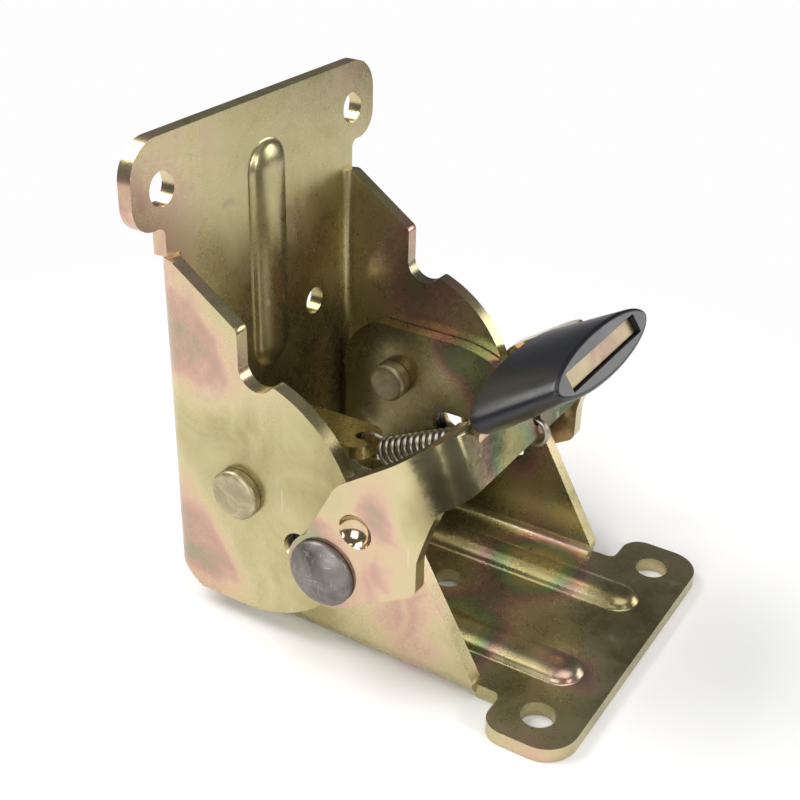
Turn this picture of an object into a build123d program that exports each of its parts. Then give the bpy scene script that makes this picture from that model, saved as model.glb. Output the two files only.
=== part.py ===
"""Self-locking folding table hinge, open at a right angle and standing on its table bracket.

X runs across the hinge, Y from the pivot towards the front of the table bracket, Z up.
The origin is on the table bracket's mounting face, straight below the pivot. Millimetres.
"""
from build123d import *
from math import atan2, cos, hypot, radians, sin, sqrt
import os

# Sheet metal and clearances
sheet = 2.5
bend_inside = 1.7
slide_gap = 0.3
lever_gap = 0.3
turn_clearance = 0.06
set_clearance = 0.02

# Where the pivot lies
pivot_height = 25.7
pivot_setback = 15.1

# Leg bracket, the outer channel with the upright plate
leg_width = 52.2
leg_plate_bottom = -19.6
leg_corner_depth = 3.4
leg_shoulder = (0.8, 28.9)
leg_slope_start = 1.2
leg_wall_top = 37.4
leg_neck_half = 25.4
leg_neck_top = 42.4
leg_ear_half = 32.1
leg_plate_top = 56.5
leg_ear_corner = 6.0
leg_ear_foot = 4.4
leg_wall_crest = 1.6
leg_wall_bend = 1.4
neck_corner = 1.4
rim_radius = 22.5
detent_radius = 3.4
detent_depth = 19.5
leg_screw_half = 25.4
leg_screw_height = 48.4
ear_hole_radius = 2.8
leg_hole_half = 13.2
leg_hole_height = 15.6
centre_hole_radius = 2.5
leg_rib_width = 10.4
leg_rib_top = 49.7
leg_rib_bottom = 8.0
rib_height = 1.6
rib_taper = 35

# Spring tab, cut from the upright plate and turned forward
tab_reach = 9.3
tab_top = -0.2
tab_width = 8.6
tab_hole_radius = 1.25
tab_hole_edge = 2.7
tab_window_side = 0.7
tab_corner = 3.0

# Table bracket, the inner channel with the flat plate
boss_radius = 11.2
table_top_line = 10.6
table_foot_back = 10.8
table_arc_start = 12.0
table_arc_radius = 21.3
table_front_top = (32.2, -3.2)
table_front_foot = 42.4
table_neck_half = 21.6
table_neck_end = 46.8
table_ear_half = 29.3
table_plate_front = 60.9
table_ear_corner = 5.5
table_ear_foot = 3.6
table_screw_half = 22.55
table_screw_front = 53.7
table_hole_front = 24.8
table_rib_half = 11.2
table_rib_width = 8.4
table_rib_back = 4.0
table_rib_front = 56.0

# Lock pin and its slots
lock_pin_radius = 2.7
lock_slot_clearance = 0.15
lock_height = -6.7
lock_rest = 18.2
lock_travel = 6.6
lock_inner = 11.6
lock_head_radius = 5.75
lock_head_rim = 0.9
lock_head_crown = 2.3

# Pivot rivets
pivot_shank_radius = 3.0
pivot_head_radius = 4.35
pivot_head_height = 1.8
pivot_foot_radius = 3.65
pivot_foot_height = 3.0
rivet_edge = 0.5

# Release lever, one folded yoke with a turned-out tongue
web_lean = 23.0
web_front = 41.5
web_low = -5.3
web_top = 3.8
web_shoulder = 4.4
lever_bend_inside = 6.5
lever_end_radius = 6.6
tongue_rise = 33.8
tongue_length = 15.6
tongue_root_half = 16.5
tongue_tip_half = 13.0
tongue_bend = 2.4
tongue_corner = 2.0
dimple_centre = (24.1, 3.0)
dimple_mouth_radius = 2.95
dimple_depth = 2.0
dimple_boss_radius = 1.6
dimple_boss_height = 0.8
dimple_boss_taper = 15
web_hole_height = 2.7
web_hole_radius = 1.25

# Grip sleeve pushed over the tongue
sleeve_seat_gap = 0.1
sleeve_root_start = -1.0
sleeve_root_half = 18.2
sleeve_root_thickness = 9.6
sleeve_over_tip = 1.0
sleeve_tip_half = 16.0
sleeve_tip_thickness = 7.4
sleeve_rounding = 0.7
sleeve_mouth_half = 12.0
sleeve_mouth_height = 3.0

# Extension spring
wire_radius = 0.5
coil_radius = 2.2
coil_pitch = 1.35
loop_radius = 2.2
loop_neck = 1.0
hook_drop = 1.7
hook_turns = (60, 170, 280)

os.makedirs("parts", exist_ok=True)

# Sizes that follow from the ones above
leg_half = leg_width / 2
leg_inner_half = leg_half - sheet
table_half = leg_inner_half - slide_gap
table_inner_half = table_half - sheet
lever_inner_half = leg_half + lever_gap
lever_half = lever_inner_half + sheet
bend_outside = bend_inside + sheet
lever_bend_outside = lever_bend_inside + sheet
leg_face = -pivot_setback
leg_inside = leg_face + sheet
floor_bottom = -pivot_height
floor_top = floor_bottom + sheet
lock_slot_radius = lock_pin_radius + lock_slot_clearance
lock_outer = lock_rest + lock_travel + lock_slot_clearance
far_out = 2 * leg_ear_half


def side_plane(x):
    """Plane across X through the pivot axis, with local x along Y and local y along Z."""
    return Plane(origin=(x, 0, pivot_height), x_dir=(0, 1, 0), z_dir=(1, 0, 0))


def upright_plane(y):
    """Plane facing the front at y, with local x against X and local y along Z from the pivot."""
    return Plane(origin=(0, y, pivot_height), x_dir=(-1, 0, 0), z_dir=(0, 1, 0))


def level_plane(z):
    """Plane facing up at z above the pivot, with local x along X and local y along Y."""
    return Plane.XY.offset(pivot_height + z)


def ear_corners(overhang, foot, corner):
    """Corner radii round a plate with ears, the ones beside the necks limited by the ears' overhang."""
    neck_radius = min(neck_corner, 0.22 * overhang)
    foot_radius = min(foot, 0.66 * overhang)
    return (neck_radius, foot_radius, corner, corner, foot_radius, neck_radius)


# Leg bracket
detent_centre = (leg_shoulder[0] + detent_radius, detent_depth + detent_radius)
leg_flat_half = leg_half - bend_outside
tab_length = tab_reach - leg_inside
tab_bottom = tab_top - sheet

with BuildPart() as leg_bracket:
    with BuildSketch(level_plane(-rim_radius)) as leg_channel:
        with Locations((0, leg_face)):
            Rectangle(leg_width, 2 * far_out, align=(Align.CENTER, Align.MIN))
        fillet(leg_channel.vertices().group_by(Axis.Y)[0], radius=bend_outside)
    extrude(amount=leg_wall_top + rim_radius)
    with BuildSketch(level_plane(-rim_radius)) as leg_hollow:
        with Locations((0, leg_inside)):
            Rectangle(2 * leg_inner_half, 2 * far_out, align=(Align.CENTER, Align.MIN))
        fillet(leg_hollow.vertices().group_by(Axis.Y)[0], radius=bend_inside)
    extrude(amount=leg_wall_top + rim_radius, mode=Mode.SUBTRACT)
    with BuildSketch(side_plane(-far_out)) as leg_side:
        with BuildLine():
            Line((leg_face, leg_plate_bottom), (leg_face, leg_wall_top))
            FilletPolyline(
                (leg_face, leg_wall_top),
                (leg_inside + leg_slope_start, leg_wall_top),
                leg_shoulder,
                (leg_shoulder[0], 0),
                radius=(leg_wall_crest, leg_wall_bend),
            )
            Polyline((leg_shoulder[0], 0), (leg_shoulder[0], -rim_radius))
            FilletPolyline(
                (leg_shoulder[0], -rim_radius),
                (leg_inside + leg_corner_depth, -rim_radius),
                (leg_inside, leg_plate_bottom),
                (leg_face, leg_plate_bottom),
                radius=(1.5, 0.6),
            )
        make_face()
        Circle(rim_radius)
        with BuildLine():
            Polyline(
                (leg_inside, 0),
                (leg_inside + leg_corner_depth, -rim_radius),
                (leg_shoulder[0], -rim_radius),
                (leg_shoulder[0], 0),
                close=True,
            )
        make_face()
        with Locations(detent_centre):
            Circle(detent_radius, mode=Mode.SUBTRACT)
        with Locations(detent_centre):
            Rectangle(
                2 * detent_radius,
                leg_wall_top,
                align=(Align.CENTER, Align.MIN),
                mode=Mode.SUBTRACT,
            )
        with Locations((lock_inner, lock_height)):
            Circle(lock_slot_radius, mode=Mode.SUBTRACT)
            Rectangle(
                rim_radius,
                2 * lock_slot_radius,
                align=(Align.MIN, Align.CENTER),
                mode=Mode.SUBTRACT,
            )
        Circle(pivot_shank_radius + turn_clearance, mode=Mode.SUBTRACT)
        rim_corners = leg_side.vertices().filter_by(
            lambda v: abs(hypot(v.X, v.Y) - rim_radius) < 0.01 and v.X > detent_centre[0]
        )
        fillet(rim_corners, radius=0.9)
    extrude(amount=2 * far_out, mode=Mode.INTERSECT)
    with BuildSketch(upright_plane(leg_face)):
        with BuildLine():
            Polyline(
                (leg_neck_half, leg_wall_top),
                (leg_flat_half, leg_wall_top),
                (leg_flat_half, leg_wall_top - sheet),
                (-leg_flat_half, leg_wall_top - sheet),
                (-leg_flat_half, leg_wall_top),
                (-leg_neck_half, leg_wall_top),
            )
            FilletPolyline(
                (-leg_neck_half, leg_wall_top),
                (-leg_neck_half, leg_neck_top),
                (-leg_ear_half, leg_neck_top),
                (-leg_ear_half, leg_plate_top),
                (leg_ear_half, leg_plate_top),
                (leg_ear_half, leg_neck_top),
                (leg_neck_half, leg_neck_top),
                (leg_neck_half, leg_wall_top),
                radius=ear_corners(leg_ear_half - leg_neck_half, leg_ear_foot, leg_ear_corner),
            )
        make_face()
    extrude(amount=sheet)
    with BuildSketch(upright_plane(leg_inside)):
        with Locations((0, (leg_rib_top + leg_rib_bottom) / 2)):
            SlotOverall(leg_rib_top - leg_rib_bottom, leg_rib_width, rotation=90)
    extrude(amount=rib_height, taper=rib_taper)
    with BuildSketch(upright_plane(leg_face)):
        with Locations((0, (leg_rib_top + leg_rib_bottom) / 2)):
            SlotOverall(
                leg_rib_top - leg_rib_bottom - sheet,
                leg_rib_width - sheet,
                rotation=90,
            )
    extrude(amount=rib_height, taper=rib_taper / 2, mode=Mode.SUBTRACT)
    with BuildSketch(upright_plane(leg_face)):
        with Locations((0, tab_top)):
            Rectangle(
                tab_width + 2 * tab_window_side,
                tab_length + sheet,
                align=(Align.CENTER, Align.MAX),
            )
    extrude(amount=sheet, mode=Mode.SUBTRACT)
    with BuildSketch(side_plane(-tab_width / 2)) as tab_side:
        with BuildLine():
            Polyline(
                (leg_face, tab_top + sheet),
                (leg_face, tab_bottom),
                (leg_inside + sheet, tab_bottom),
                (leg_inside + sheet, tab_top),
                (leg_inside, tab_top),
                (leg_inside, tab_top + sheet),
                close=True,
            )
        make_face()
        fillet(tab_side.vertices().sort_by_distance((leg_face, tab_bottom))[0], radius=sheet)
        fillet(tab_side.vertices().sort_by_distance((leg_inside, tab_top))[0], radius=0.6)
    extrude(amount=tab_width)
    with BuildSketch(level_plane(tab_bottom)) as tab_plan:
        with Locations((0, leg_inside + sheet / 2)):
            Rectangle(tab_width, tab_length - sheet / 2, align=(Align.CENTER, Align.MIN))
        fillet(tab_plan.vertices().group_by(Axis.Y)[-1], radius=tab_corner)
    extrude(amount=sheet)
    with BuildSketch(level_plane(tab_top)):
        with Locations((0, tab_reach - tab_hole_edge)):
            Circle(tab_hole_radius)
    extrude(amount=-sheet, mode=Mode.SUBTRACT)
    with BuildSketch(upright_plane(leg_face)):
        with Locations((leg_screw_half, leg_screw_height), (-leg_screw_half, leg_screw_height)):
            Circle(ear_hole_radius)
        with Locations((leg_hole_half, leg_hole_height), (-leg_hole_half, leg_hole_height)):
            Circle(centre_hole_radius)
    extrude(amount=sheet, mode=Mode.SUBTRACT)

leg_bracket.part.label = "leg_bracket"
export_step(leg_bracket.part, "parts/leg_bracket.step")

# Table bracket
arc_centre = (table_arc_start, table_top_line - table_arc_radius)
boss_meet_low = -sqrt(boss_radius**2 - table_foot_back**2)
boss_meet_top = -sqrt(boss_radius**2 - table_top_line**2)
arc_end_angle = atan2(table_front_top[1] - arc_centre[1], table_front_top[0] - arc_centre[0])
arc_end = (
    arc_centre[0] + table_arc_radius * cos(arc_end_angle),
    arc_centre[1] + table_arc_radius * sin(arc_end_angle),
)
arc_mid_angle = (radians(90) + arc_end_angle) / 2
arc_mid = (
    arc_centre[0] + table_arc_radius * cos(arc_mid_angle),
    arc_centre[1] + table_arc_radius * sin(arc_mid_angle),
)
boss_mid = (-boss_radius * cos(radians(30)), boss_radius * sin(radians(30)))
table_flat_half = table_half - bend_outside
channel_plane = Plane(origin=(0, -far_out, 0), x_dir=(-1, 0, 0), z_dir=(0, 1, 0))

with BuildPart() as table_bracket:
    with BuildSketch(channel_plane) as table_channel:
        Rectangle(2 * table_half, far_out, align=(Align.CENTER, Align.MIN))
        fillet(table_channel.vertices().group_by(Axis.Y)[0], radius=bend_outside)
    extrude(amount=3 * far_out)
    with BuildSketch(channel_plane) as table_hollow:
        with Locations((0, sheet)):
            Rectangle(2 * table_inner_half, far_out, align=(Align.CENTER, Align.MIN))
        fillet(table_hollow.vertices().group_by(Axis.Y)[0], radius=bend_inside)
    extrude(amount=3 * far_out, mode=Mode.SUBTRACT)
    with BuildSketch(side_plane(-far_out)) as table_side:
        with BuildLine():
            Line((-table_foot_back, floor_bottom), (-table_foot_back, boss_meet_low))
            ThreePointArc((-table_foot_back, boss_meet_low), boss_mid, (boss_meet_top, table_top_line))
            Line((boss_meet_top, table_top_line), (table_arc_start, table_top_line))
            ThreePointArc((table_arc_start, table_top_line), arc_mid, arc_end)
            Polyline(
                arc_end,
                (table_front_foot, floor_top + 1.5),
                (table_front_foot, floor_bottom),
                (-table_foot_back, floor_bottom),
            )
        make_face()
        with Locations(((lock_inner + lock_outer) / 2, lock_height)):
            SlotCenterToCenter(lock_outer - lock_inner, 2 * lock_slot_radius, mode=Mode.SUBTRACT)
        Circle(pivot_shank_radius + set_clearance, mode=Mode.SUBTRACT)
    extrude(amount=2 * far_out, mode=Mode.INTERSECT)
    with BuildSketch(Plane.XY):
        with BuildLine():
            Polyline(
                (table_neck_half, table_front_foot),
                (table_flat_half, table_front_foot),
                (table_flat_half, table_front_foot - sheet),
                (-table_flat_half, table_front_foot - sheet),
                (-table_flat_half, table_front_foot),
                (-table_neck_half, table_front_foot),
            )
            FilletPolyline(
                (-table_neck_half, table_front_foot),
                (-table_neck_half, table_neck_end),
                (-table_ear_half, table_neck_end),
                (-table_ear_half, table_plate_front),
                (table_ear_half, table_plate_front),
                (table_ear_half, table_neck_end),
                (table_neck_half, table_neck_end),
                (table_neck_half, table_front_foot),
                radius=ear_corners(table_ear_half - table_neck_half, table_ear_foot, table_ear_corner),
            )
        make_face()
    extrude(amount=sheet)
    with BuildSketch(Plane.XY.offset(sheet)):
        with Locations(
            (table_rib_half, (table_rib_front + table_rib_back) / 2),
            (-table_rib_half, (table_rib_front + table_rib_back) / 2),
        ):
            SlotOverall(table_rib_front - table_rib_back, table_rib_width, rotation=90)
    extrude(amount=rib_height, taper=rib_taper)
    with BuildSketch(Plane.XY):
        with Locations(
            (table_rib_half, (table_rib_front + table_rib_back) / 2),
            (-table_rib_half, (table_rib_front + table_rib_back) / 2),
        ):
            SlotOverall(
                table_rib_front - table_rib_back - sheet,
                table_rib_width - sheet,
                rotation=90,
            )
    extrude(amount=rib_height, taper=rib_taper / 2, mode=Mode.SUBTRACT)
    with BuildSketch(Plane.XY):
        with Locations((table_screw_half, table_screw_front), (-table_screw_half, table_screw_front)):
            Circle(ear_hole_radius)
        with Locations((0, table_hole_front)):
            Circle(centre_hole_radius)
    extrude(amount=sheet, mode=Mode.SUBTRACT)

table_bracket.part.label = "table_bracket"
export_step(table_bracket.part, "parts/table_bracket.step")


# Pivot rivets, upset inside the table bracket's walls
def pivot_profile(side):
    head_face = side * (leg_half + turn_clearance)
    head_top = head_face + side * pivot_head_height
    foot_face = side * table_inner_half
    foot_end = foot_face - side * pivot_foot_height
    return [
        (foot_end, 0),
        (foot_end, pivot_foot_radius - rivet_edge),
        (foot_end + side * rivet_edge, pivot_foot_radius),
        (foot_face, pivot_foot_radius),
        (foot_face, pivot_shank_radius),
        (head_face, pivot_shank_radius),
        (head_face, pivot_head_radius),
        (head_top - side * rivet_edge, pivot_head_radius),
        (head_top, pivot_head_radius - rivet_edge),
        (head_top, 0),
    ]


across = Plane(origin=(0, 0, pivot_height), x_dir=(1, 0, 0), z_dir=(0, 0, 1))

with BuildPart() as pivot_rivet_near:
    with BuildSketch(across):
        with BuildLine():
            Polyline(*pivot_profile(1), close=True)
        make_face()
    revolve(axis=Axis((0, 0, pivot_height), (1, 0, 0)))

pivot_rivet_near.part.label = "pivot_rivet_near"
export_step(pivot_rivet_near.part, "parts/pivot_rivet_near.step")

with BuildPart() as pivot_rivet_far:
    with BuildSketch(across):
        with BuildLine():
            Polyline(*pivot_profile(-1), close=True)
        make_face()
    revolve(axis=Axis((0, 0, pivot_height), (1, 0, 0)))

pivot_rivet_far.part.label = "pivot_rivet_far"
export_step(pivot_rivet_far.part, "parts/pivot_rivet_far.step")

# Lock rivets, domed heads whose shanks fill the lever's eyes
lock_across = Plane(origin=(0, lock_rest, pivot_height + lock_height), x_dir=(1, 0, 0), z_dir=(0, 0, 1))
lock_axis = Axis((0, lock_rest, pivot_height + lock_height), (1, 0, 0))


def lock_line(side):
    shank_end = side * (lever_inner_half - lever_gap / 2)
    head_face = side * (lever_half + turn_clearance)
    rim_top = head_face + side * lock_head_rim
    crown_top = rim_top + side * lock_head_crown
    crown_radius = (lock_head_radius**2 + lock_head_crown**2) / (2 * lock_head_crown)
    half_way = lock_head_radius / 2
    crown_rise = lock_head_crown - crown_radius + sqrt(crown_radius**2 - half_way**2)
    Polyline(
        (crown_top, 0),
        (shank_end, 0),
        (shank_end, lock_pin_radius),
        (head_face, lock_pin_radius),
        (head_face, lock_head_radius),
        (rim_top, lock_head_radius),
    )
    ThreePointArc(
        (rim_top, lock_head_radius),
        (rim_top + side * crown_rise, half_way),
        (crown_top, 0),
    )


with BuildPart() as lock_rivet_near:
    with BuildSketch(lock_across):
        with BuildLine():
            lock_line(1)
        make_face()
    revolve(axis=lock_axis)

lock_rivet_near.part.label = "lock_rivet_near"
export_step(lock_rivet_near.part, "parts/lock_rivet_near.step")

with BuildPart() as lock_rivet_far:
    with BuildSketch(lock_across):
        with BuildLine():
            lock_line(-1)
        make_face()
    revolve(axis=lock_axis)

lock_rivet_far.part.label = "lock_rivet_far"
export_step(lock_rivet_far.part, "parts/lock_rivet_far.step")

# Release lever; u runs squarely out of its web and v up along it
lean_cos = cos(radians(web_lean))
lean_sin = sin(radians(web_lean))


def web_point(u, v):
    """Side view point, from the pivot, of a place given along and up the web."""
    return (u * lean_cos - v * lean_sin, u * lean_sin + v * lean_cos)


web_plane = Plane(
    origin=(0, 0, pivot_height),
    x_dir=(1, 0, 0),
    z_dir=(0, -lean_sin, lean_cos),
)
tongue_cos = cos(radians(tongue_rise))
tongue_sin = sin(radians(tongue_rise))
web_back = web_front - sheet
turn_angle = radians(90 + web_lean - tongue_rise)
setback = (tongue_bend + sheet / 2) * sin(turn_angle / 2) / cos(turn_angle / 2)
tongue_root = web_point(web_front - sheet / 2, web_top)
tongue_start = (tongue_root[0] + setback * tongue_cos, tongue_root[1] + setback * tongue_sin)
tongue_end = (
    tongue_root[0] + tongue_length * tongue_cos,
    tongue_root[1] + tongue_length * tongue_sin,
)
bend_start = web_point(web_front - sheet / 2, web_top - setback)
tongue_joint = (tongue_start[0] + 0.4 * tongue_cos, tongue_start[1] + 0.4 * tongue_sin)
tongue_flat = tongue_length - setback
tongue_plane = Plane(
    origin=(
        0,
        tongue_start[0] + sheet / 2 * tongue_sin,
        pivot_height + tongue_start[1] - sheet / 2 * tongue_cos,
    ),
    x_dir=(0, tongue_cos, tongue_sin),
    z_dir=(0, -tongue_sin, tongue_cos),
)
web_hole_side = web_point(web_front - sheet / 2, web_low + web_hole_height)
web_hole_place = (0, web_hole_side[0], pivot_height + web_hole_side[1])
sleeve_end = tongue_flat + sleeve_over_tip
dimple_radius = (dimple_mouth_radius**2 + dimple_depth**2) / (2 * dimple_depth)
sleeve_side_plane = Plane(
    origin=(0, tongue_start[0], pivot_height + tongue_start[1]),
    x_dir=(0, tongue_cos, tongue_sin),
    z_dir=(1, 0, 0),
)
cheek = [
    (web_point(web_front, web_low), 0),
    (web_point(web_front, web_shoulder), 0.8),
    (web_point(web_back, web_shoulder), 0.8),
    ((20.6, 9.9), 6.0),
    ((15.2, -0.4), 8.0),
    ((12.9, -5.2), 0),
    ((lock_rest, lock_height), 0),
    ((21.6, -12.4), 0),
    ((34.9, -4.6), 2.2),
    ((34.9, 1.5), 4.0),
    (web_point(web_back - 1.0, web_low), 1.5),
]

with BuildPart() as lever:
    with BuildSketch(web_plane.offset(-2 * web_front)) as lever_channel:
        with Locations((0, web_front)):
            Rectangle(2 * lever_half, 2 * web_front, align=(Align.CENTER, Align.MAX))
        fillet(lever_channel.vertices().group_by(Axis.Y)[-1], radius=lever_bend_outside)
    extrude(amount=4 * web_front)
    with BuildSketch(web_plane.offset(-2 * web_front)) as lever_hollow:
        with Locations((0, web_back)):
            Rectangle(2 * lever_inner_half, 3 * web_front, align=(Align.CENTER, Align.MAX))
        fillet(lever_hollow.vertices().group_by(Axis.Y)[-1], radius=lever_bend_inside)
    extrude(amount=4 * web_front, mode=Mode.SUBTRACT)
    with BuildSketch(side_plane(-far_out)) as lever_side:
        with BuildLine():
            Polyline(*[point for point, rounding in cheek], close=True)
        make_face()
        for point, rounding in cheek:
            if rounding > 0:
                fillet(lever_side.vertices().sort_by_distance(point)[0], radius=rounding)
        with Locations((lock_rest, lock_height)):
            Circle(lever_end_radius)
            Circle(lock_pin_radius + turn_clearance, mode=Mode.SUBTRACT)
    extrude(amount=2 * far_out, mode=Mode.INTERSECT)
    with BuildSketch(side_plane(-tongue_root_half)):
        with BuildLine():
            Polyline(
                web_point(web_back - lever_gap, web_top - setback),
                web_point(web_front + lever_gap, web_top - setback),
                web_point(web_front + lever_gap, web_top + sheet),
                web_point(web_back - lever_gap, web_top + sheet),
                close=True,
            )
        make_face()
    extrude(amount=2 * tongue_root_half, mode=Mode.SUBTRACT)
    with BuildSketch(side_plane(-tongue_root_half)):
        with BuildLine():
            Line(web_point(web_front - sheet / 2, web_low + sheet), bend_start)
            RadiusArc(bend_start, tongue_start, tongue_bend + sheet / 2)
            Line(tongue_start, tongue_joint)
        trace(line_width=sheet)
    extrude(amount=2 * tongue_root_half)
    with BuildSketch(tongue_plane) as tongue_plan:
        with BuildLine():
            Polyline(
                (0, -tongue_root_half),
                (tongue_flat, -tongue_tip_half),
                (tongue_flat, tongue_tip_half),
                (0, tongue_root_half),
                close=True,
            )
        make_face()
        fillet(tongue_plan.vertices().group_by(Axis.X)[-1], radius=tongue_corner)
    extrude(amount=sheet)
    for side in (1, -1):
        inward = Plane(
            origin=(side * (lever_inner_half + rivet_edge), dimple_centre[0], pivot_height + dimple_centre[1]),
            x_dir=(0, 1, 0),
            z_dir=(-side, 0, 0),
        )
        with BuildSketch(inward):
            Circle(dimple_boss_radius)
        extrude(amount=rivet_edge + dimple_boss_height, taper=dimple_boss_taper)
        bowl_x = side * (lever_half + dimple_radius - dimple_depth)
        with Locations((bowl_x, dimple_centre[0], pivot_height + dimple_centre[1])):
            Sphere(dimple_radius, rotation=(0, 0, 90 - 90 * side), mode=Mode.SUBTRACT)
    with BuildSketch(Plane(origin=web_hole_place, x_dir=(1, 0, 0), z_dir=(0, lean_cos, lean_sin))):
        Circle(web_hole_radius)
    extrude(amount=sheet, both=True, mode=Mode.SUBTRACT)

lever.part.label = "lever"
export_step(lever.part, "parts/lever.step")

# Grip sleeve, a tapering oval tube with its pocket and its open end
def sleeve_plane(distance):
    """Plane across the tongue at a distance from its bend, with local x along X."""
    return Plane(
        origin=(
            0,
            tongue_start[0] + distance * tongue_cos,
            pivot_height + tongue_start[1] + distance * tongue_sin,
        ),
        x_dir=(1, 0, 0),
        z_dir=(0, tongue_cos, tongue_sin),
    )


pocket_thickness = sheet + 2 * sleeve_seat_gap
pocket_plane = tongue_plane.offset(-sleeve_seat_gap)

with BuildPart() as grip_sleeve:
    with BuildSketch(sleeve_plane(sleeve_root_start)):
        Ellipse(sleeve_root_half, sleeve_root_thickness / 2)
    with BuildSketch(sleeve_plane(sleeve_end)):
        Ellipse(sleeve_tip_half, sleeve_tip_thickness / 2)
    loft()
    fillet(grip_sleeve.faces().sort_by_distance((0, far_out, far_out))[0].edges(), radius=sleeve_rounding)
    with BuildSketch(pocket_plane) as sleeve_pocket:
        with BuildLine():
            Polyline(
                (0, -tongue_root_half - sleeve_seat_gap),
                (tongue_flat + sleeve_seat_gap, -tongue_tip_half - sleeve_seat_gap),
                (tongue_flat + sleeve_seat_gap, tongue_tip_half + sleeve_seat_gap),
                (0, tongue_root_half + sleeve_seat_gap),
                close=True,
            )
        make_face()
        fillet(sleeve_pocket.vertices().group_by(Axis.X)[-1], radius=tongue_corner)
    extrude(amount=pocket_thickness, mode=Mode.SUBTRACT)
    with BuildSketch(side_plane(-tongue_root_half - sleeve_seat_gap)):
        with BuildLine():
            Line(web_point(web_front - sheet / 2, web_low + sheet), bend_start)
            RadiusArc(bend_start, tongue_start, tongue_bend + sheet / 2)
            Line(tongue_start, tongue_joint)
        trace(line_width=pocket_thickness)
    extrude(amount=2 * (tongue_root_half + sleeve_seat_gap), mode=Mode.SUBTRACT)
    with BuildSketch(sleeve_side_plane):
        with Locations((sleeve_end, 0)):
            Rectangle(2 * (sleeve_over_tip + tongue_corner), sleeve_mouth_height)
    extrude(amount=sleeve_mouth_half, both=True, mode=Mode.SUBTRACT)

grip_sleeve.part.label = "grip_sleeve"
export_step(grip_sleeve.part, "parts/grip_sleeve.step")

# Extension spring, hooked through the tab and round the web's lower edge
tab_eye = (tab_reach - tab_hole_edge, tab_top - sheet / 2)
tab_loop = (tab_eye[0] + loop_radius, tab_eye[1])
near_loop = (tab_loop[0], tab_loop[1] - hook_drop)
far_loop = web_point(web_front - sheet / 2, web_low + web_hole_height - loop_radius)
spring_run = hypot(far_loop[0] - near_loop[0], far_loop[1] - near_loop[1])
spring_y = (far_loop[0] - near_loop[0]) / spring_run
spring_z = (far_loop[1] - near_loop[1]) / spring_run
coil_start = loop_radius + loop_neck
coil_turns = round((spring_run - 2 * coil_start) / coil_pitch)
coil_length = coil_turns * coil_pitch
coil_rest = (spring_run - coil_length) / 2


def along(distance, rise, sideways=0):
    """Point given from the coils' near end along their axis, off it and across it."""
    return (
        sideways,
        near_loop[0] + distance * spring_y - rise * spring_z,
        pivot_height + near_loop[1] + distance * spring_z + rise * spring_y,
    )


def near_eye(turn):
    """Point on the loop in the tab, turned down from the front."""
    return (
        0,
        tab_loop[0] + loop_radius * cos(radians(turn)),
        pivot_height + tab_loop[1] - loop_radius * sin(radians(turn)),
    )


def far_eye(turn):
    """Point on the loop in the web, turned from the side that faces the coils."""
    return along(spring_run - loop_radius * cos(radians(turn)), loop_radius * sin(radians(turn)))


def draw_wire(path):
    with BuildSketch(Plane(origin=path @ 0, z_dir=path % 0)) as wire_section:
        Circle(wire_radius)
    sweep(wire_section.sketch, path=path, is_frenet=True)


with BuildPart() as spring:
    with BuildLine() as coil_line:
        Helix(
            pitch=coil_pitch,
            height=coil_length,
            radius=coil_radius,
            center=along(coil_rest, 0),
            direction=(0, spring_y, spring_z),
        )
    coil = coil_line.edges()[0]
    draw_wire(coil)
    with BuildLine() as near_line:
        ThreePointArc(*[near_eye(turn) for turn in hook_turns])
    near_arc = near_line.edges()[0]
    draw_wire(near_arc)
    with BuildLine() as near_neck:
        Spline(near_arc @ 1, coil @ 0, tangents=[near_arc % 1, coil % 0])
    draw_wire(near_neck.edges()[0])
    with BuildLine() as far_line:
        ThreePointArc(far_eye(70), far_eye(190), far_eye(310))
    far_arc = far_line.edges()[0]
    draw_wire(far_arc)
    with BuildLine() as far_neck:
        Spline(coil @ 1, far_arc @ 0, tangents=[coil % 1, far_arc % 0])
    draw_wire(far_neck.edges()[0])

spring.part.label = "spring"
export_step(spring.part, "parts/spring.step")
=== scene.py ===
"""Looks for the locking table hinge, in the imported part's frame. Lengths in metres."""
import math

import bmesh
import bpy
from mathutils import Matrix, Vector


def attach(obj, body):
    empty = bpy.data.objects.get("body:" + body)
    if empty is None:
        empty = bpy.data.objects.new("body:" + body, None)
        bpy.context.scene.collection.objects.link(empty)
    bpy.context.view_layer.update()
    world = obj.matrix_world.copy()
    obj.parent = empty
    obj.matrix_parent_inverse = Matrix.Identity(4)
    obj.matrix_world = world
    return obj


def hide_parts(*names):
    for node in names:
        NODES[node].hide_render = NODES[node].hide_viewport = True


MM = 0.001
SAME_PLACE = 1e-6

# Places on the hinge, as (y, z) in mm
PIVOT_PLACE = (0.0, 25.7)
LOCK_PLACE = (18.2, 19.0)

# Finish of the sheet parts, in mm and degrees
SHEET_EDGE = 0.22
SLEEVE_EDGE = 0.25
FLAT_WITHIN = 0.6
EDGE_ABOVE = 38
SHEET_SHARP_ABOVE = 32
RIVET_SHARP_ABOVE = 35

# A rib's crown: its rings, how full it is, and how much of its half width the foot blends over
CROWN_RINGS = 16
CROWN_FULLNESS = 2.6
CROWN_BLEND = 0.22

# Turning of the rivets
TURNING_RADIUS = 1.0 * MM
STEPS_AROUND = 96

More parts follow.
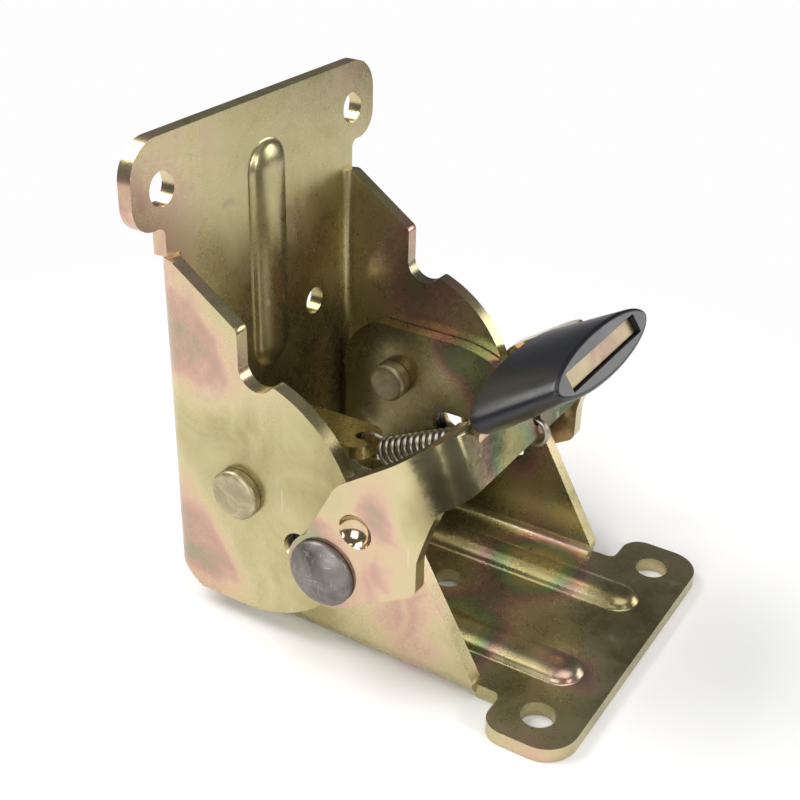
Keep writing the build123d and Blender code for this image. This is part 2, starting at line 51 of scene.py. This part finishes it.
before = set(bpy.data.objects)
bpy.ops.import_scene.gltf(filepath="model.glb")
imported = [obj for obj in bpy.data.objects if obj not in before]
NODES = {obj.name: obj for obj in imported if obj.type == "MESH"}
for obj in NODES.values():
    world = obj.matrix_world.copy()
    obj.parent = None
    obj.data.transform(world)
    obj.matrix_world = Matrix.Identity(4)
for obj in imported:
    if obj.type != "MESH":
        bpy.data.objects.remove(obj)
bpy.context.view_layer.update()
BODY = {
    "leg_bracket": "leg_side",
    "table_bracket": "table_side",
    "pivot_rivet_near": "table_side",
    "pivot_rivet_far": "table_side",
    "lock_rivet_near": "lock",
    "lock_rivet_far": "lock",
    "lever": "release",
    "grip_sleeve": "release",
    "spring": "release",
}


class Wave:
    """A shader socket that can be used in plain arithmetic."""

    def __init__(self, tree, socket):
        self.tree = tree
        self.socket = socket

    def math(self, operation, *others, clamp=False):
        node = self.tree.nodes.new("ShaderNodeMath")
        node.operation = operation
        node.use_clamp = clamp
        self.tree.links.new(self.socket, node.inputs[0])
        for place, other in enumerate(others, 1):
            if isinstance(other, Wave):
                self.tree.links.new(other.socket, node.inputs[place])
            else:
                node.inputs[place].default_value = other
        return Wave(self.tree, node.outputs[0])

    def __add__(self, other):
        return self.math("ADD", other)

    __radd__ = __add__

    def __mul__(self, other):
        return self.math("MULTIPLY", other)

    __rmul__ = __mul__

    def __sub__(self, other):
        return self.math("SUBTRACT", other)

    def __rsub__(self, other):
        return (self * -1.0) + other

    def clamped(self):
        return self.math("ADD", 0.0, clamp=True)

    def highest(self, other):
        return self.math("MAXIMUM", other)

    def step(self, low, high):
        """0 below low, 1 above high, smooth between."""
        node = self.tree.nodes.new("ShaderNodeMapRange")
        node.interpolation_type = "SMOOTHSTEP"
        self.tree.links.new(self.socket, node.inputs["Value"])
        node.inputs["From Min"].default_value = low
        node.inputs["From Max"].default_value = high
        return Wave(self.tree, node.outputs["Result"])


class Finish:
    """A material under construction."""

    def __init__(self, name):
        self.material = bpy.data.materials.new(name)
        self.material.use_nodes = True
        self.tree = self.material.node_tree
        self.tree.nodes.clear()
        out = self.tree.nodes.new("ShaderNodeOutputMaterial")
        self.shader = self.tree.nodes.new("ShaderNodeBsdfPrincipled")
        self.tree.links.new(self.shader.outputs[0], out.inputs["Surface"])
        self.place = self.node("ShaderNodeTexCoord", "Object")

    def node(self, kind, output, settings=None, **inputs):
        """Adds a node, gives its inputs, each by name or as i and a number, and returns one output."""
        node = self.tree.nodes.new(kind)
        for name, value in (settings or {}).items():
            setattr(node, name, value)
        for name, value in inputs.items():
            numbered = name[0] == "i" and name[1:].isdigit()
            socket = node.inputs[int(name[1:]) if numbered else name.replace("_", " ")]
            if isinstance(value, Wave):
                self.tree.links.new(value.socket, socket)
            else:
                socket.default_value = value
        return Wave(self.tree, node.outputs[output])

    def set(self, **inputs):
        for name, value in inputs.items():
            socket = self.shader.inputs[name.replace("_", " ")]
            if isinstance(value, Wave):
                self.tree.links.new(value.socket, socket)
            else:
                socket.default_value = value

    def moved(self, scale=(1, 1, 1), turn=(0, 0, 0), shift=(0, 0, 0)):
        return self.node(
            "ShaderNodeMapping",
            "Vector",
            Vector=self.place,
            Location=shift,
            Rotation=turn,
            Scale=scale,
        )

    def noise(self, scale, detail=3.0, rough=0.5, distort=0.0, vector=None):
        return self.node(
            "ShaderNodeTexNoise",
            "Fac",
            Vector=vector or self.place,
            Scale=scale,
            Detail=detail,
            Roughness=rough,
            Distortion=distort,
        )

    def ramp(self, value, stops):
        node = self.tree.nodes.new("ShaderNodeValToRGB")
        self.tree.links.new(value.socket, node.inputs[0])
        elements = node.color_ramp.elements
        while len(elements) < len(stops):
            elements.new(0.5)
        for element, (position, color) in zip(elements, stops):
            element.position = position
            element.color = (*color, 1.0)
        return Wave(self.tree, node.outputs["Color"])

    def mix(self, factor, a, b):
        node = self.tree.nodes.new("ShaderNodeMix")
        node.data_type = "RGBA"
        for socket, value in ((node.inputs[0], factor), (node.inputs[6], a), (node.inputs[7], b)):
            if isinstance(value, Wave):
                self.tree.links.new(value.socket, socket)
            elif isinstance(value, (int, float)):
                socket.default_value = value
            else:
                socket.default_value = (*value, 1.0)
        return Wave(self.tree, node.outputs[2])

    def near(self, centre, radius):
        """1 at centre, falling smoothly to 0 at radius. Millimetres."""
        distance = self.node(
            "ShaderNodeVectorMath",
            "Value",
            {"operation": "DISTANCE"},
            i0=self.place,
            i1=tuple(c * MM for c in centre),
        )
        return 1.0 - distance.step(0.0, radius * MM)

    def bump(self, height, strength, distance, under=None):
        inputs = {"Height": height, "Strength": strength, "Distance": distance}
        if under is not None:
            inputs["Normal"] = under
        return self.node("ShaderNodeBump", "Normal", **inputs)


# The film's colour, from thin to thick
FILM = (
    (0.00, (0.250, 0.210, 0.105)),
    (0.14, (0.350, 0.300, 0.145)),
    (0.28, (0.465, 0.412, 0.220)),
    (0.40, (0.550, 0.470, 0.275)),
    (0.49, (0.590, 0.435, 0.295)),
    (0.58, (0.510, 0.315, 0.255)),
    (0.66, (0.370, 0.300, 0.210)),
    (0.75, (0.290, 0.345, 0.205)),
    (0.85, (0.350, 0.425, 0.185)),
    (0.95, (0.520, 0.465, 0.210)),
)

PALE = (0.66, 0.58, 0.42)
WORN = (0.46, 0.42, 0.34)
SCRATCHED = (0.75, 0.70, 0.60)
PAINTED_SHADE_BLACK = (0.020, 0.015, 0.012)
SHEARED = (0.30, 0.24, 0.18)
RUBBED = (0.50, 0.46, 0.40)

# Painted shade: the lock notches are darkened towards black where shade falls in them. Places in mm,
# as (centre, radius)
NOTCH_PAINTED_SHADE = (((23.3, 10.5, 19.0), 3.6), ((-23.3, 10.5, 19.0), 3.6))

# The tongue ends in a bare sheared edge
TONGUE_END = (((0, 48.5, 53.6), 26),)


def zinc(name, base, film_and_shade_spots, seed, pale=0.0, gloss=0.28, notch_shade=(), sheared=()):
    """Yellow chromated zinc: a thin film whose colour wanders with its thickness.

    Each spot thickens or thins the film and so shifts its colour; some spots paint shade instead:
    (centre in mm, radius in mm, amount).
    """
    f = Finish(name)
    wide = f.noise(26.0, 2.0, 0.45, 0.6, f.moved(shift=(seed, seed * 0.7, -seed)))
    fine = f.noise(95.0, 4.0, 0.55, 1.2, f.moved(shift=(-seed, seed, seed * 0.3)))
    grain = f.noise(900.0, 2.0, 0.5)
    film = (wide - 0.5) * 0.95 + (fine - 0.5) * 0.42 + (grain - 0.5) * 0.05 + base
    for centre, radius, amount in film_and_shade_spots:
        film = film + f.near(centre, radius) * amount
    color = f.ramp(film.clamped(), FILM)
    worn = f.noise(210.0, 5.0, 0.62, 0.4).step(0.60, 0.72)
    color = f.mix(worn * 0.35, color, WORN)
    color = f.mix(pale, color, PALE)
    along = f.moved(scale=(1.0, 14.0, 1.0), turn=(0.3, 0.9, 0.4))
    scratches = f.noise(70.0, 3.0, 0.5, 0.0, along).step(0.70, 0.74)
    color = f.mix(scratches * 0.25, color, SCRATCHED)
    # Painted shade: each lock notch goes near black towards its centre, where shade falls
    for centre, radius in notch_shade:
        color = f.mix(f.near(centre, radius).step(0.05, 0.3), color, PAINTED_SHADE_BLACK)
    rough = gloss + (fine - 0.5) * 0.16 + worn * 0.10 + (grain - 0.5) * 0.10
    for centre, radius in sheared:
        cut = f.near(centre, radius).step(0.1, 0.6)
        color = f.mix(cut * 0.6, color, SHEARED)
        rough = rough + cut * 0.35
    f.set(Base_Color=color, Roughness=rough.clamped(), Metallic=0.92, IOR=1.6)
    soft = f.bump(f.noise(60.0, 2.0, 0.5), 0.35, 0.0004)
    f.set(Normal=f.bump(grain + f.noise(2600.0, 1.0, 0.5) * 0.5, 0.12, 0.00006, soft))
    return f.material


def rivet_steel(name, dark, seed):
    """Upset steel with worn plating and fine marks in two directions."""
    f = Finish(name)
    broad = f.noise(240.0, 3.0, 0.6, 0.5, f.moved(shift=(seed, 0, 0)))
    down = f.moved(scale=(1.0, 9.0, 1.2), turn=(0.5 + seed, 0.2, 0.9))
    across = f.moved(scale=(1.0, 1.2, 9.0), turn=(1.1 - seed, 0.1, 0.2))
    lines = f.noise(520.0, 2.0, 0.5, 0.0, down)
    cross = f.noise(480.0, 2.0, 0.5, 0.0, across)
    marks = lines.step(0.64, 0.72).highest(cross.step(0.66, 0.73))
    color = f.mix(broad.step(0.35, 0.7), dark, tuple(c * 1.7 for c in dark))
    color = f.mix(marks * 0.35, color, RUBBED)
    f.set(Base_Color=color, Roughness=0.36 + broad * 0.2 - marks * 0.08, Metallic=0.95)
    f.set(Normal=f.bump(broad + marks * 0.4, 0.5, 0.00012))
    return f.material


def wire_steel():
    """Drawn wire, bright where it is rubbed."""
    f = Finish("spring wire")
    tone = f.noise(400.0, 3.0, 0.6)
    f.set(
        Base_Color=f.mix(tone, (0.24, 0.22, 0.18), (0.56, 0.52, 0.44)),
        Roughness=0.24 + tone * 0.15,
        Metallic=1.0,
    )
    return f.material


def grip_black():
    """Soft black plastic with a satin face."""
    f = Finish("grip plastic")
    mottle = f.noise(160.0, 4.0, 0.6)
    pores = f.noise(2200.0, 2.0, 0.5)
    f.set(
        Base_Color=f.mix(mottle, (0.004, 0.0045, 0.0065), (0.009, 0.010, 0.014)),
        Roughness=0.34 + (mottle - 0.5) * 0.22,
        Specular_IOR_Level=0.55,
    )
    f.set(Normal=f.bump(pores + mottle * 2.0, 0.16, 0.00012))
    return f.material


LEG = zinc(
    "leg zinc",
    0.20,
    (
        ((-29, -13, 74), 24, 0.30),
        ((29, -13, 74), 24, 0.32),
        ((-25, -13, 40), 26, -0.10),
        ((26, 8, 42), 15, 0.22),
        ((26, -11, 50), 18, 0.42),
        ((26, -10, 20), 24, 0.20),
        ((26, 14, 20), 16, 0.16),
        ((0, -13, 74), 22, 0.14),
        ((0, -13, 36), 30, -0.12),
        ((-24, 4, 50), 20, 0.34),
        ((-24, 10, 30), 18, 0.12),
    ),
    0.31,
    notch_shade=NOTCH_PAINTED_SHADE,
)
TABLE = zinc(
    "table zinc",
    0.13,
    (
        ((29, 56, 1), 22, 0.38),
        ((-29, 56, 1), 22, 0.36),
        ((-22, 14, 34), 14, 0.84),
        ((-22, 26, 22), 16, 0.70),
        ((23, 30, 12), 20, 0.42),
        ((11, 32, 4), 16, 0.82),
        ((-11, 36, 4), 16, 0.84),
        ((11, 54, 3), 10, 0.50),
    ),
    1.43,
    notch_shade=NOTCH_PAINTED_SHADE,
)
LEVER = zinc(
    "lever zinc",
    0.30,
    (
        ((10, 40, 38), 13, 0.66),
        ((-8, 40, 40), 12, 0.50),
        ((0, 49, 54), 13, 0.14),
        # Painted shade: these two spots darken the film's colour into the dark band along the cheek's
        # bend
        ((27, 36, 36), 9, -0.30),
        ((27, 30, 35), 12, 0.40),
        ((-27, 30, 40), 16, 0.22),
        ((28, 17, 21), 26, 0.36),
    ),
    2.21,
    pale=0.03,
    gloss=0.15,
    sheared=TONGUE_END,
)
PIVOT_STEEL = rivet_steel("pivot rivet steel", (0.33, 0.285, 0.18), 0.0)
LOCK_STEEL = rivet_steel("lock rivet steel", (0.15, 0.135, 0.125), 0.7)
WIRE = wire_steel()
GRIP = grip_black()


def keep(obj, node):
    """The piece stands for a CAD node and moves with its body."""
    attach(obj, BODY[node])
    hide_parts(node)
    return obj


def crown(shape, up, foot, ends, half, height):
    """Gives a pressed rib its round crown: rings that rise from its foot to its centre line.

    up is the axis that the rib rises along, foot the level it rises from, ends are the ends of its
    centre line and half is half its width. Millimetres.
    """
    first, last = (Vector(end) for end in ends)

    def centre(point):
        along = (point - first).dot(last - first) / (last - first).length_squared
        return first.lerp(last, min(max(along, 0.0), 1.0))

    def on_rib(item):
        """All of the item's corners lie on the rib or on its foot."""
        for vert in item.verts:
            off = vert.co / MM - centre(vert.co / MM)
            level = off[up]
            off[up] = 0.0
            if off.length > half + 0.1 or not -0.01 < level < height + 0.1:
                return False
        return True

    def raised(face):
        return any(vert.co[up] / MM > foot + 0.05 for vert in face.verts)

    pressed = [face for face in shape.faces if on_rib(face) and raised(face)]
    bmesh.ops.delete(shape, geom=pressed, context="FACES")
    rim = [edge for edge in shape.edges if edge.is_boundary and on_rib(edge)]
    ribs = {}
    for vert in dict.fromkeys(vert for edge in rim for vert in edge.verts):
        line = [vert]
        start = vert.co / MM
        for ring in range(1, CROWN_RINGS + 1):
            t = ring / CROWN_RINGS
            blend = min(t / CROWN_BLEND, 1.0)
            blend = blend * blend * (3.0 - 2.0 * blend)
            point = start.lerp(centre(start), t)
            point[up] = foot + height * (1.0 - (1.0 - t) ** CROWN_FULLNESS) * blend
            line.append(shape.verts.new(point * MM))
        ribs[vert] = line
    for edge in rim:
        loop = edge.link_loops[0]
        a, b = ribs[loop.vert], ribs[loop.link_loop_next.vert]
        for ring in range(CROWN_RINGS):
            shape.faces.new((b[ring], a[ring], a[ring + 1], b[ring + 1]))
    made = [vert for line in ribs.values() for vert in line[1:]]
    bmesh.ops.remove_doubles(shape, verts=made, dist=SAME_PLACE)


def settled(rough):
    """The mesh that an object's modifiers make. The object itself goes."""
    bpy.context.scene.collection.objects.link(rough)
    bpy.context.view_layer.update()
    made = rough.evaluated_get(bpy.context.evaluated_depsgraph_get())
    mesh = bpy.data.meshes.new_from_object(made)
    bpy.data.objects.remove(rough)
    return mesh


def placed(name, mesh, sharp_above=None):
    """An object in the scene with this mesh, smooth up to an angle in degrees."""
    if sharp_above is not None:
        for polygon in mesh.polygons:
            polygon.use_smooth = True
        mesh.set_sharp_from_angle(angle=math.radians(sharp_above))
    obj = bpy.data.objects.new(name, mesh)
    bpy.context.scene.collection.objects.link(obj)
    return obj


def dressed(node, material, width, ribs=()):
    """A copy of a CAD node with rounded edges, width in mm, and round crowns on its ribs."""
    mesh = NODES[node].data.copy()
    shape = bmesh.new()
    shape.from_mesh(mesh)
    bmesh.ops.remove_doubles(shape, verts=shape.verts, dist=SAME_PLACE)
    bmesh.ops.dissolve_limit(
        shape,
        angle_limit=math.radians(FLAT_WITHIN),
        verts=shape.verts,
        edges=shape.edges,
    )
    for rib in ribs:
        crown(shape, *rib)
    shape.to_mesh(mesh)
    shape.free()
    mesh.materials.clear()
    mesh.materials.append(material)
    rough = bpy.data.objects.new("rough " + node, mesh)
    bevel = rough.modifiers.new("edge", "BEVEL")
    bevel.width = width * MM
    bevel.segments = 2
    bevel.limit_method = "ANGLE"
    bevel.angle_limit = math.radians(EDGE_ABOVE)
    bevel.use_clamp_overlap = True
    bevel.miter_outer = "MITER_ARC"
    obj = placed(node + "_skin", settled(rough), SHEET_SHARP_ABOVE)
    normals = obj.modifiers.new("normals", "WEIGHTED_NORMAL")
    normals.keep_sharp = True
    normals.weight = 80
    return keep(obj, node)


def turning():
    """Geometry Nodes that turn a rivet's profile about an axis along X.

    In the profile the radius, less TURNING_RADIUS, runs along X and the distance out along -Y.
    """
    tree = bpy.data.node_groups.new("rivet turning", "GeometryNodeTree")
    tree.is_modifier = True
    inputs = {"Profile": "Geometry", "Steps Around": "Int", "Centre": "Vector", "Steel": "Material"}
    for name, kind in inputs.items():
        tree.interface.new_socket(name, in_out="INPUT", socket_type="NodeSocket" + kind)
    tree.interface.new_socket("Rivet", in_out="OUTPUT", socket_type="NodeSocketGeometry")
    given = tree.nodes.new("NodeGroupInput").outputs

    def add(kind, output, **links):
        node = tree.nodes.new("GeometryNode" + kind)
        for name, value in links.items():
            socket = node.inputs[name.replace("_", " ")]
            if isinstance(value, bpy.types.NodeSocket):
                tree.links.new(value, socket)
            else:
                socket.default_value = value
        return node.outputs[output]

    outline = add("MeshToCurve", "Curve", Mesh=given["Profile"])
    around = given["Steps Around"]
    ring = add("CurvePrimitiveCircle", "Curve", Resolution=around, Radius=TURNING_RADIUS)
    round_form = add("CurveToMesh", "Mesh", Curve=ring, Profile_Curve=outline)
    closed = add("MergeByDistance", "Geometry", Geometry=round_form, Distance=SAME_PLACE)
    along_x = (0.0, math.pi / 2, 0.0)
    laid = add("Transform", "Geometry", Geometry=closed, Rotation=along_x, Translation=given["Centre"])
    real = add("RealizeInstances", "Geometry", Geometry=laid)
    steel = add("SetMaterial", "Geometry", Geometry=real, Material=given["Steel"])
    tree.links.new(steel, tree.nodes.new("NodeGroupOutput").inputs["Rivet"])
    return tree


TURNING = turning()


def turned(node, profile, centre, side, material):
    """A rivet on the near (1) or far (-1) side. The profile is in mm, as (distance out, radius)."""
    outline = bpy.data.meshes.new(node + " outline")
    points = [(radius * MM - TURNING_RADIUS, -side * out * MM, 0.0) for out, radius in profile]
    outline.from_pydata(points, [(i, i + 1) for i in range(len(points) - 1)], [])
    rough = bpy.data.objects.new("rough " + node, outline)
    turn = rough.modifiers.new("turning", "NODES")
    turn.node_group = TURNING
    sockets = {item.name: item.identifier for item in TURNING.interface.items_tree}
    turn[sockets["Steps Around"]] = STEPS_AROUND
    turn[sockets["Centre"]] = (0.0, centre[0] * MM, centre[1] * MM)
    turn[sockets["Steel"]] = material
    mesh = settled(rough)
    shape = bmesh.new()
    shape.from_mesh(mesh)
    bmesh.ops.recalc_face_normals(shape, faces=shape.faces)
    shape.to_mesh(mesh)
    shape.free()
    return keep(placed(node + "_turned", mesh, RIVET_SHARP_ABOVE), node)


def rounded(points, radius, steps=4):
    """A profile with its middle corners rounded, each over less than half of the lines beside it."""
    profile = [points[0]]
    for before, corner, after in zip(points, points[1:], points[2:]):
        corner = Vector(corner)
        back, on = Vector(before) - corner, Vector(after) - corner
        cut = min(radius, back.length * 0.48, on.length * 0.48)
        start = corner + back.normalized() * cut
        end = corner + on.normalized() * cut
        for step in range(steps + 1):
            t = step / steps
            profile.append(tuple(start * (1 - t) ** 2 + corner * 2 * t * (1 - t) + end * t * t))
    profile.append(points[-1])
    return profile


# Each rib: the axis it rises along, its foot's level, its centre line's ends, half its width and its
# height. Millimetres
RIB_HEIGHT = 1.6
LEG_FACE = -12.6
TABLE_FACE = 2.5
leg_rib = (1, LEG_FACE, ((0, LEG_FACE, 38.9), (0, LEG_FACE, 70.2)), 5.2, RIB_HEIGHT)
table_ribs = [
    (2, TABLE_FACE, ((across, 8.2, TABLE_FACE), (across, 51.8, TABLE_FACE)), 4.2, RIB_HEIGHT)
    for across in (11.2, -11.2)
]
dressed("leg_bracket", LEG, SHEET_EDGE, [leg_rib])
dressed("table_bracket", TABLE, SHEET_EDGE, table_ribs)
dressed("lever", LEVER, SHEET_EDGE)
dressed("grip_sleeve", GRIP, SLEEVE_EDGE)

# From the upset inner end out to the flat head
PIVOT_PROFILE = rounded(
    [
        (17.8, 0),
        (17.8, 3.15),
        (18.2, 3.65),
        (20.8, 3.65),
        (20.8, 3.0),
        (26.16, 3.0),
        (26.16, 4.3),
        (26.3, 4.35),
        (27.55, 4.35),
        (27.96, 3.8),
        (27.96, 0),
    ],
    0.3,
)
# From the shank's inner end out to the crown of the domed head
LOCK_PROFILE = rounded(
    [
        (26.25, 0),
        (26.25, 2.7),
        (28.96, 2.7),
        (28.96, 5.6),
        (29.1, 5.75),
        (29.75, 5.7),
        (30.6, 4.7),
        (31.4, 3.3),
        (31.95, 1.7),
        (32.1, 0),
    ],
    0.5,
)
for side, name in ((1, "near"), (-1, "far")):
    turned("pivot_rivet_" + name, PIVOT_PROFILE, PIVOT_PLACE, side, PIVOT_STEEL)
    turned("lock_rivet_" + name, LOCK_PROFILE, LOCK_PLACE, side, LOCK_STEEL)

NODES["spring"].data.materials.clear()
NODES["spring"].data.materials.append(WIRE)


# Floor: away from the hinge it melts into the white that the camera sees behind it
FLOOR_HALF = 0.25
FLOOR_LEVEL = -0.0001
PAPER_WHITE = (0.93, 0.93, 0.93, 1.0)
MELTS_FROM, MELTS_TO = 0.05, 0.15

paper = Finish("floor")
away = paper.node("ShaderNodeVectorMath", "Value", {"operation": "LENGTH"}, i0=paper.place)
looked_at = paper.node("ShaderNodeLightPath", "Is Camera Ray")
melted = away.step(MELTS_FROM, MELTS_TO) * looked_at
paper.set(Base_Color=PAPER_WHITE, Roughness=0.6, Alpha=1.0 - melted)

sheet = bpy.data.meshes.new("floor")
corners = ((-1, -1), (1, -1), (1, 1), (-1, 1))
corners = [(x * FLOOR_HALF, y * FLOOR_HALF, FLOOR_LEVEL) for x, y in corners]
sheet.from_pydata(corners, [], [(0, 1, 2, 3)])
sheet.materials.append(paper.material)
placed("floor", sheet)

# Lights, all turned to the middle of the hinge
MIDDLE = Vector((0.0, 0.012, 0.036))
DAYLIGHT = (1.0, 1.0, 1.0)
WARM = (1.0, 0.985, 0.96)
MILD = (1.0, 0.99, 0.97)
AMBER = (1.0, 0.98, 0.95)


def softbox(name, place, size, power, color):
    lamp = bpy.data.lights.new(name, "AREA")
    lamp.shape = "RECTANGLE"
    lamp.size, lamp.size_y = size
    lamp.energy = power
    lamp.color = color
    obj = bpy.data.objects.new(name, lamp)
    bpy.context.scene.collection.objects.link(obj)
    obj.location = place
    obj.rotation_euler = (MIDDLE - Vector(place)).to_track_quat("-Z", "Y").to_euler()


softbox("key", (0.10, -0.42, 0.55), (0.5, 0.4), 4.7, WARM)
softbox("front", (0.62, 0.10, 0.30), (0.45, 0.45), 2.75, DAYLIGHT)
softbox("top", (-0.05, 0.15, 0.60), (0.35, 0.5), 1.2, DAYLIGHT)
softbox("right", (-0.50, 0.45, 0.20), (0.34, 0.30), 1.3, MILD)
softbox("strip", (0.11, 0.48, 0.21), (0.05, 0.20), 0.60, AMBER)

# World: white to the camera, a dim cool grey to everything else
world = bpy.data.worlds.new("studio")
bpy.context.scene.world = world
world.use_nodes = True
sky = world.node_tree
sky.nodes.clear()


def background(color, strength):
    node = sky.nodes.new("ShaderNodeBackground")
    node.inputs["Color"].default_value = (*color, 1.0)
    node.inputs["Strength"].default_value = strength
    return node.outputs[0]


chosen = sky.nodes.new("ShaderNodeMixShader")
ray = sky.nodes.new("ShaderNodeLightPath")
sky.links.new(ray.outputs["Is Camera Ray"], chosen.inputs[0])
sky.links.new(background((0.75, 0.77, 0.80), 0.11), chosen.inputs[1])
sky.links.new(background((0.985, 0.985, 0.985), 1.0), chosen.inputs[2])
sky.links.new(chosen.outputs[0], sky.nodes.new("ShaderNodeOutputWorld").inputs["Surface"])

# Camera, fitted to the photograph, with its turn given as the directions to its right and ahead
camera = bpy.data.cameras.new("camera")
camera.sensor_width = 36.0
camera.lens = 59.19
camera.clip_start = 0.01
camera.clip_end = 10.0
CAMERA_PLACE = (0.1649, 0.1136, 0.1421)
right = Vector((-0.5268, 0.8497, 0.0211)).normalized()
ahead = Vector((-0.748, -0.4517, -0.4862)).normalized()
above = right.cross(ahead).normalized()
right = ahead.cross(above).normalized()
eye = bpy.data.objects.new("camera", camera)
bpy.context.scene.collection.objects.link(eye)
turn = Matrix((right, above, -ahead)).transposed().to_4x4()
eye.matrix_world = Matrix.Translation(CAMERA_PLACE) @ turn
bpy.context.scene.camera = eye
bpy.context.scene.view_settings.view_transform = "Standard"
